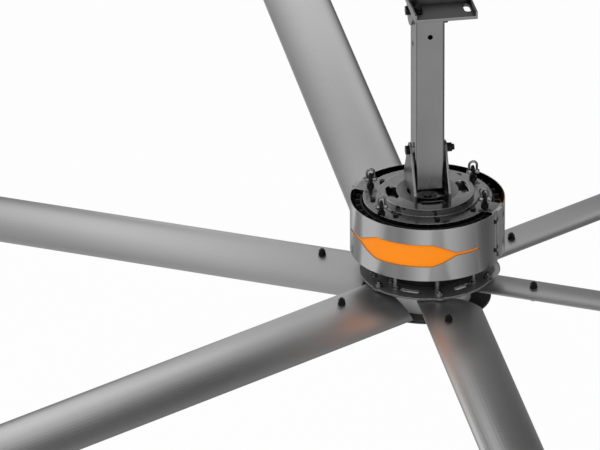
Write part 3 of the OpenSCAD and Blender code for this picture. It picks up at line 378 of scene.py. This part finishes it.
def metal(name, color, rough, metallic, grain, grain_share, relief, blotch=0.1, blotch_scale=9.0,
          edge=0.0012, wear_and_highlight=0.0, wear_and_highlight_tone=0.5, rolled=False, inside=None, inside_above=-FAR,
          bore_shade_half=0.0, shade=0.0, shade_within=FAR, front_shade=0.0, rough_near=0.0,
          specular=0.5):
    """A metal or paint with grain, blotches, and edges brightened by wear and by a painted highlight,
    all made from nodes.

    edge rounds the edges' shading, the wear setting brightens them as wear and as a painted highlight,
    rolled turns the grain round the axis, inside darkens faces that look inwards, the bore setting
    paints shade inside the square tube, shade paints shade into corners, the front setting paints
    shade towards the front, and rough_near roughens near the hub.
    """
    material, t = new_material(name)
    shader = t.add("BsdfPrincipled")
    t.join(shader.outputs[0], t.add("OutputMaterial").inputs["Surface"])
    shader.inputs["Metallic"].default_value = metallic
    shader.inputs["Specular IOR Level"].default_value = specular
    place = t.add("TexCoord").outputs["Object"]
    x, y, z = t.split(place)
    level_place = t.scaled(place, (1, 1, 0))
    from_axis = t.from_vectors("LENGTH", level_place)
    at = place
    if rolled:
        flat = t.add("CombineXYZ")
        t.join(t.math("MULTIPLY", t.math("ARCTAN2", y, x), ROLLED_R), flat.inputs[0])
        t.join(from_axis, flat.inputs[1])
        t.join(z, flat.inputs[2])
        at = flat.outputs[0]

    lines = t.noise(t.scaled(at, grain), 1.0, 4.0, 0.6)
    patches = t.noise(at, blotch_scale, 3.0, 0.55)
    light = tuple(min(1.0, c * (1 + blotch)) for c in color) + (1.0,)
    dark = tuple(c * (1 - blotch) for c in color) + (1.0,)
    tone = t.mix(t.range(patches, *PATCH_RANGE, 0.0, 1.0), dark, light)
    tone = t.mix(t.range(lines, *GRAIN_RANGE, grain_share, 0.0), tone, BLACK)

    spread = ROUGH_SPREAD * grain_share
    roughness = t.range(lines, *GRAIN_RANGE, max(LEAST_ROUGH, rough - spread), rough + spread)
    if rough_near:
        extra = t.range(from_axis, NEAR_HUB, FAR_FROM_HUB, rough_near - rough, 0.0)
        roughness = t.math("ADD", roughness, extra)
    t.join(roughness, shader.inputs["Roughness"])

    flat_normal = t.add("NewGeometry").outputs["Normal"]
    normal = None
    if edge:
        bevel = t.add("Bevel", samples=EDGE_SAMPLES)
        bevel.inputs["Radius"].default_value = edge
        normal = bevel.outputs[0]
    # Worn edges, and a painted highlight along the edges
    if wear_and_highlight:
        bend = t.from_vectors("DOT_PRODUCT", normal, flat_normal)
        rim = t.range(bend, *RIM_RANGE, 1.0, 0.0)
        scuff = t.range(t.noise(at, SCUFF_SCALE, 4.0, 0.7), *SCUFF_RANGE, 0.0, wear_and_highlight)
        tone = t.mix(t.math("MULTIPLY", rim, scuff), tone, grey(wear_and_highlight_tone))
    # Painted shade: the inside of the square tube is darkened almost to black
    if bore_shade_half:
        across = t.math("MAXIMUM", t.math("ABSOLUTE", x), t.math("ABSOLUTE", y))
        tone = t.mix(t.math("LESS_THAN", across, bore_shade_half), tone, grey(BORE_SHADE_TONE))
    if inside:
        outwards = t.from_vectors("DOT_PRODUCT", flat_normal, level_place)
        within = t.math("MULTIPLY", t.math("LESS_THAN", outwards, LOOKS_INWARDS),
                        t.math("GREATER_THAN", z, inside_above))
        tone = t.mix(within, tone, (*inside, 1.0))
    # Painted shade: the tops darken towards the front
    if front_shade:
        tone = t.mix(t.range(y, FRONT_Y, MIDDLE_Y, front_shade, 0.0), tone, BLACK)
    if shade:
        corner = t.add("AmbientOcclusion", samples=SHADE_SAMPLES)
        corner.inputs["Distance"].default_value = shade
        deep = t.math("SUBTRACT", 1.0, t.math("POWER", corner.outputs["AO"], SHADE_POWER))
        near = t.math("LESS_THAN", from_axis, shade_within)
        tone = t.mix(t.math("MULTIPLY", deep, near), tone, BLACK)
    t.join(tone, shader.inputs["Base Color"])

    if relief:
        bump = t.add("Bump")
        bump.inputs["Strength"].default_value = relief
        bump.inputs["Distance"].default_value = RELIEF_DEPTH
        t.join(lines, bump.inputs["Height"])
        if normal is not None:
            t.join(normal, bump.inputs["Normal"])
        normal = bump.outputs[0]
    if normal is not None:
        t.join(normal, shader.inputs["Normal"])
    return material


def rgb(value):
    return (value, value, value)


FINE = (300, 300, 300)
COARSE = (160, 160, 160)
TURNED = (10, 300, 900)

LOOKS = {
    "bracket_grey": dict(color=rgb(0.38), rough=0.36, metallic=1.0, grain=(90, 90, 90),
                         grain_share=0.08, relief=0.08, blotch=0.05, edge=0.0018, wear_and_highlight=0.8,
                         wear_and_highlight_tone=0.9, shade=0.05),
    "tube_grey": dict(color=rgb(0.38), rough=0.25, metallic=1.0, grain=(400, 400, 30),
                      grain_share=0.06, relief=0.05, blotch=0.04, wear_and_highlight=0.3, wear_and_highlight_tone=0.6,
                      bore_shade_half=36.4 * MM),
    # The clevis plates: darker than the brackets as painted shade, with edges painted bright as a
    # highlight
    "clevis_shaded_grey": dict(color=rgb(0.2), rough=0.3, metallic=1.0, grain=(200, 200, 200),
                        grain_share=0.06, relief=0.05, blotch=0.04, edge=0.005, wear_and_highlight=2.5,
                        wear_and_highlight_tone=1.0, shade=0.05),
    "plate_grey": dict(color=rgb(0.55), rough=0.17, metallic=1.0, grain=(40, 500, 40),
                       grain_share=0.08, relief=0.05, blotch=0.05, edge=0.0024, wear_and_highlight=1.8,
                       wear_and_highlight_tone=1.0, shade=0.06, shade_within=0.085, front_shade=0.6),
    "black_steel": dict(color=rgb(0.005), rough=0.36, metallic=0.5, grain=(120, 120, 120),
                        grain_share=0.1, relief=0.1, edge=0.0006, wear_and_highlight=0.25, wear_and_highlight_tone=0.2),
    "zinc_steel": dict(color=rgb(0.6), rough=0.25, metallic=1.0, grain=FINE, grain_share=0.12,
                       relief=0.1, edge=0.0006, wear_and_highlight=0.3, wear_and_highlight_tone=0.9),
    "shackle_steel": dict(color=rgb(0.4), rough=0.2, metallic=1.0, grain=FINE, grain_share=0.12,
                          relief=0.1, edge=0.0006, wear_and_highlight=0.3, wear_and_highlight_tone=0.9),
    "shroud_steel": dict(color=rgb(0.62), rough=0.2, metallic=1.0, grain=(6, 900, 1400),
                         grain_share=0.05, relief=0.03, blotch=0.02, rolled=True,
                         inside=(0.008, 0.007, 0.007)),
    "strap_steel": dict(color=rgb(0.6), rough=0.28, metallic=1.0, grain=(500, 500, 25),
                        grain_share=0.08, relief=0.06, blotch=0.04, wear_and_highlight=0.4, wear_and_highlight_tone=0.8,
                        inside=rgb(0.01), inside_above=-0.915),
    "accent_orange": dict(color=(0.98, 0.27, 0.01), rough=0.5, metallic=0.0, grain=(80, 80, 80),
                          grain_share=0.01, relief=0.0, blotch=0.02, edge=0.0, shade=0.02,
                          specular=0.15),
    "blade_aluminium": dict(color=rgb(0.58), rough=0.29, metallic=1.0, grain=(3, 200, 200),
                            grain_share=0.03, relief=0.004, blotch=0.02, blotch_scale=3.0,
                            edge=0.0, rough_near=0.4),
    "cap_black": dict(color=rgb(0.03), rough=0.5, metallic=0.0, grain=FINE, grain_share=0.1,
                      relief=0.3),
    "rotor_black": dict(color=rgb(0.006), rough=0.6, metallic=0.0, grain=(200, 200, 200),
                        grain_share=0.1, relief=0.0, wear_and_highlight=0.05, wear_and_highlight_tone=0.03),
    "ring_dark": dict(color=rgb(0.12), rough=0.3, metallic=0.4, grain=COARSE, grain_share=0.05,
                      relief=0.0, blotch=0.04, edge=0.0018, wear_and_highlight=0.9, wear_and_highlight_tone=1.0),
    "hub_light": dict(color=rgb(0.85), rough=0.35, metallic=0.3, grain=TURNED, grain_share=0.08,
                      relief=0.06, rolled=True),
    "cover_dark": dict(color=rgb(0.03), rough=0.35, metallic=0.7, grain=COARSE, grain_share=0.1,
                       relief=0.1, wear_and_highlight=0.7, wear_and_highlight_tone=0.4),
    "stud_steel": dict(color=rgb(0.42), rough=0.2, metallic=1.0, grain=FINE, grain_share=0.12,
                       relief=0.1, edge=0.0006, wear_and_highlight=0.4, wear_and_highlight_tone=0.8),
    "shaft_steel": dict(color=rgb(0.55), rough=0.22, metallic=1.0, grain=TURNED,
                        grain_share=0.12, relief=0.1, rolled=True),
    "core_steel": dict(color=rgb(0.2), rough=0.5, metallic=0.8, grain=(10, 10, 2500),
                       grain_share=0.4, relief=0.3),
    "copper_wire": dict(color=(0.75, 0.3, 0.12), rough=0.3, metallic=1.0, grain=(900, 900, 100),
                        grain_share=0.3, relief=0.5),
    "magnet_grey": dict(color=rgb(0.3), rough=0.4, metallic=0.9, grain=COARSE, grain_share=0.1,
                        relief=0.1),
}
MATERIALS = {name: metal(name, **look) for name, look in LOOKS.items()}

# Nodes that look unlike the rest of their material slot; the clevis plates' darker look is painted shade
OWN_LOOK = {"clevis_left": "clevis_shaded_grey", "clevis_right": "clevis_shaded_grey",
            "shaft_lock_nut": "black_steel", "stator_shaft": "cover_dark"}
slot_of = {row["node"]: row["material_slot"] for row in frame["record"]["subparts"]}
for name, obj in nodes.items():
    obj.data.materials.clear()
    obj.data.materials.append(MATERIALS[OWN_LOOK.get(name, slot_of[name])])


def finish_piece(name, form, body, look, smooth=True):
    mesh = bpy.data.meshes.new(name)
    bmesh.ops.recalc_face_normals(form, faces=form.faces)
    for face in form.faces:
        face.smooth = smooth
    form.to_mesh(mesh)
    form.free()
    if smooth:
        mesh.set_sharp_from_angle(angle=math.radians(30))
    obj = add_object(name, mesh)
    mesh.materials.append(MATERIALS[look])
    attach(obj, body)
    return obj


# Shroud halves with pointed windows that run out into thin tails. Angles are in degrees

SHROUD_R = 209 * MM
SHROUD_T = 2 * MM
FLANGE_T = 2 * MM
# The straps stand here and opposite
STRAP_TURN = -32
# From a strap's middle to the shroud's wall, and to the flange that joins the wall to the strap
WALL_START = 10
FLANGE_START = 4.5
# How far the flange runs on behind the wall
FLANGE_LAP = 0.6
WINDOW_TURN = 241.3
# From the shroud's upper rim down to the window's middle
WINDOW_DROP = 77.8 * MM
# Angles from the window's middle and half-heights there
WINDOW_EDGE = ((0, 32.8 * MM), (22.3, 32.8 * MM), (40.3, 5 * MM), (60.5, 3 * MM))


def window_half(angle):
    """Half-height of the window at an angle from its middle.

    Between its corners the edge is straight when it is seen from ahead.
    """
    x = math.cos(math.radians(angle))
    for (a, h0), (b, h1) in zip(WINDOW_EDGE, WINDOW_EDGE[1:]):
        if abs(angle) <= b:
            xa = math.cos(math.radians(a))
            xb = math.cos(math.radians(b))
            return h1 + (h0 - h1) * (x - xb) / (xa - xb)
    return WINDOW_EDGE[-1][1]


def add_wall(form, start, end, r_in, r_out, z_low, z_high, window=None):
    """A curved wall between two angles, with a window round the angle and height given."""
    angles = [start + i for i in range(math.ceil(end - start))] + [end]
    if window:
        turn, z_mid = window
        angles += [turn + side * a for a, h in WINDOW_EDGE[1:] for side in (-1, 1)]
    angles = sorted(set(angles))
    columns = []
    for angle in angles:
        levels = [z_low, z_high]
        if window:
            h = window_half(abs(angle - turn))
            levels = [z_low, z_mid - h, z_mid + h, z_high]
        a = math.radians(angle)
        columns.append([[form.verts.new((r * math.cos(a), r * math.sin(a), z)) for z in levels]
                        for r in (r_in, r_out)])
    last = len(columns[0][0]) - 1
    tip = WINDOW_EDGE[-1][0]
    open_before = False
    for i, (here, after) in enumerate(zip(columns, columns[1:])):
        middle = (angles[i] + angles[i + 1]) / 2
        is_open = bool(window) and abs(middle - turn) < tip
        for j in range(last):
            if is_open and j == 1:
                continue
            for skin in (0, 1):
                form.faces.new((here[skin][j], here[skin][j + 1], after[skin][j + 1], after[skin][j]))
        for j in [0, last] + ([1, 2] if is_open else []):
            form.faces.new((here[0][j], after[0][j], after[1][j], here[1][j]))
        if is_open != open_before:
            form.faces.new((here[0][1], here[0][2], here[1][2], here[1][1]))
        open_before = is_open
    for column in (columns[0], columns[-1]):
        for j in range(last):
            form.faces.new((column[0][j], column[0][j + 1], column[1][j + 1], column[1][j]))


def make_shroud(name, node, turn, window_turn):
    low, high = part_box(node)
    inner_r = SHROUD_R - SHROUD_T
    form = bmesh.new()
    add_wall(form, turn + WALL_START, turn + 180 - WALL_START, inner_r, SHROUD_R, low.z, high.z,
             (window_turn, high.z - WINDOW_DROP))
    for start, end in ((FLANGE_START, WALL_START + FLANGE_LAP),
                       (180 - WALL_START - FLANGE_LAP, 180 - FLANGE_START)):
        add_wall(form, turn + start, turn + end, inner_r - FLANGE_T, inner_r, low.z, high.z)
    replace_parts(finish_piece(name, form, "motor", "shroud_steel"), node)


make_shroud("front_shroud_skin", "shroud_front", STRAP_TURN + 180, WINDOW_TURN)
make_shroud("back_shroud_skin", "shroud_back", STRAP_TURN, WINDOW_TURN - 180)


# Threads on the bolts' ends and on the studs

THREAD_PITCH = 1.6 * MM
THREAD_RISE = 0.45 * MM
THREAD_SINK = 0.15 * MM
# Half the width of a thread's foot, as a share of the pitch
THREAD_HALF = 0.42
THREAD_STEPS = 14
BOLT_TAIL = 5 * MM
BLADE_BOLT_R = 5 * MM
LOBE_BOLT_R = 5 * MM
STRUT_BOLT_R = 4 * MM
STUD_R = 6 * MM
PIVOT_R = 8 * MM
PIVOT_TAIL = 7 * MM
# The ring plate's bolts are in its lobes outside this radius, and hold the struts inside it
LOBE_BOLTS_FROM = 170 * MM
# From the ring plate's top to the studs' threads, and from these to the studs' upper ends
SEAT_AND_NUT = 11.5 * MM
NUT_AND_FLOOR = 19 * MM


def islands(node):
    """The lowest and highest corner of every separate solid of a node."""
    form = bmesh.new()
    form.from_mesh(nodes[node].data)
    bmesh.ops.remove_doubles(form, verts=form.verts, dist=0.01 * MM)
    seen = set()
    boxes = []
    for start in form.verts:
        if start in seen:
            continue
        seen.add(start)
        group = [start]
        for vertex in group:
            for edge in vertex.link_edges:
                other = edge.other_vert(vertex)
                if other not in seen:
                    seen.add(other)
                    group.append(other)
        low = Vector([min(v.co[i] for v in group) for i in range(3)])
        high = Vector([max(v.co[i] for v in group) for i in range(3)])
        boxes.append((low, high))
    form.free()
    return boxes


def add_thread(form, start, along, radius, length):
    """A ridge that winds round a cylinder from start, with a closed pointed section."""
    turns = length / THREAD_PITCH - 1
    steps = max(2, round(turns * THREAD_STEPS))
    tilt = along.to_track_quat("Z", "Y")
    foot = radius - THREAD_SINK
    tip = radius + THREAD_RISE
    before = None
    for i in range(steps + 1):
        angle = 2 * math.pi * turns * i / steps
        rise = THREAD_PITCH * (0.5 + turns * i / steps)
        section = []
        for out, side in ((foot, -THREAD_HALF), (tip, 0.0), (foot, THREAD_HALF)):
            point = Vector((out * math.cos(angle), out * math.sin(angle), rise + side * THREAD_PITCH))
            section.append(form.verts.new(start + tilt @ point))
        if before:
            for j in range(3):
                k = (j + 1) % 3
                form.faces.new((before[j], before[k], section[k], section[j]))
        else:
            form.faces.new(section)
        before = section
    form.faces.new(reversed(before))


def thread_piece(name, places, along, radius, length, body, look):
    """All threads of one kind of bolt, as one piece."""
    form = bmesh.new()
    for place in places:
        add_thread(form, place, along, radius, length)
    finish_piece(name, form, body, look, smooth=False)


def tail_places(node, least_r=0.0, most_r=FAR):
    """Where the upright tails of a node's bolts start, for bolts between two radii."""
    places = []
    for low, high in islands(node):
        middle = (low + high) / 2
        if least_r <= middle.xy.length <= most_r:
            places.append(Vector((middle.x, middle.y, high.z - BOLT_TAIL)))
    return places


def make_threads():
    for name, places, radius, look in (
            ("blade_bolt_threads", tail_places("blade_bolts"), BLADE_BOLT_R, "black_steel"),
            ("lobe_bolt_threads", tail_places("ring_bolts", least_r=LOBE_BOLTS_FROM), LOBE_BOLT_R,
             "stud_steel"),
            ("strut_bolt_threads", tail_places("ring_bolts", most_r=LOBE_BOLTS_FROM),
             STRUT_BOLT_R, "stud_steel")):
        thread_piece(name, places, UP, radius, BOLT_TAIL, "fan", look)

    studs = islands("standoff_studs")
    foot_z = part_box("ring_plate")[1].z + SEAT_AND_NUT
    feet = []
    for low, high in studs:
        middle = (low + high) / 2
        feet.append(Vector((middle.x, middle.y, foot_z)))
    length = studs[0][1].z - NUT_AND_FLOOR - foot_z
    thread_piece("stud_threads", feet, UP, STUD_R, length, "fan", "stud_steel")

    for node, body in (("upper_bolt", "bracket"), ("lower_bolt", "motor")):
        low, high = islands(node)[0]
        start = Vector((high.x - PIVOT_TAIL, 0, (low.z + high.z) / 2))
        thread_piece(node + "_thread", [start], RIGHT, PIVOT_R, PIVOT_TAIL, body, "black_steel")


make_threads()


# The bolt that clamps the channel at its left front slot

SLOT_GAP_X = 130 * MM
SLOT_GAP_Y = 440 * MM
CHANNEL_T = 8 * MM
CLAMP_R = 6 * MM
CLAMP_HEAD_R = 10.5 * MM
CLAMP_HEAD_H = 7.5 * MM
CLAMP_NUT_H = 10 * MM
CLAMP_WASHER_R = 12 * MM
CLAMP_WASHER_T = 2.5 * MM
HEX_CHAMFER = 1 * MM
WASHER_CHAMFER = 0.3 * MM
SHANK_CHAMFER = 0.5 * MM
HEX_SIDES = 6
ROUND_SIDES = 32


def add_prism(form, middle, radius, z_low, height, sides, chamfer):
    """An upright prism whose upper and lower rims are chamfered."""
    z_high = z_low + height
    rings = []
    for z, r in ((z_low, radius - chamfer), (z_low + chamfer, radius), (z_high - chamfer, radius),
                 (z_high, radius - chamfer)):
        rings.append([form.verts.new((middle.x + r * math.cos(2 * math.pi * i / sides),
                                      middle.y + r * math.sin(2 * math.pi * i / sides), z))
                      for i in range(sides)])
    for low, high in zip(rings, rings[1:]):
        for i in range(sides):
            j = (i + 1) % sides
            form.faces.new((low[i], low[j], high[j], high[i]))
    form.faces.new(reversed(rings[0]))
    form.faces.new(rings[-1])


def make_clamp_bolt():
    at = Vector((-SLOT_GAP_X / 2, -SLOT_GAP_Y / 2, 0))
    floor_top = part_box("hanger_channel")[0].z + CHANNEL_T
    seat = floor_top - CHANNEL_T - CLAMP_WASHER_T
    nut_z = floor_top + CLAMP_WASHER_T
    shank_l = nut_z + CLAMP_NUT_H + BOLT_TAIL - seat
    form = bmesh.new()
    add_prism(form, at, CLAMP_HEAD_R, seat - CLAMP_HEAD_H, CLAMP_HEAD_H, HEX_SIDES, HEX_CHAMFER)
    for z in (seat, floor_top):
        add_prism(form, at, CLAMP_WASHER_R, z, CLAMP_WASHER_T, ROUND_SIDES, WASHER_CHAMFER)
    add_prism(form, at, CLAMP_HEAD_R, nut_z, CLAMP_NUT_H, HEX_SIDES, HEX_CHAMFER)
    add_prism(form, at, CLAMP_R, seat, shank_l, ROUND_SIDES, SHANK_CHAMFER)
    add_thread(form, at + UP * (nut_z + CLAMP_NUT_H), UP, CLAMP_R, BOLT_TAIL)
    finish_piece("clamp_bolt_set", form, "bracket", "black_steel", smooth=False)


make_clamp_bolt()
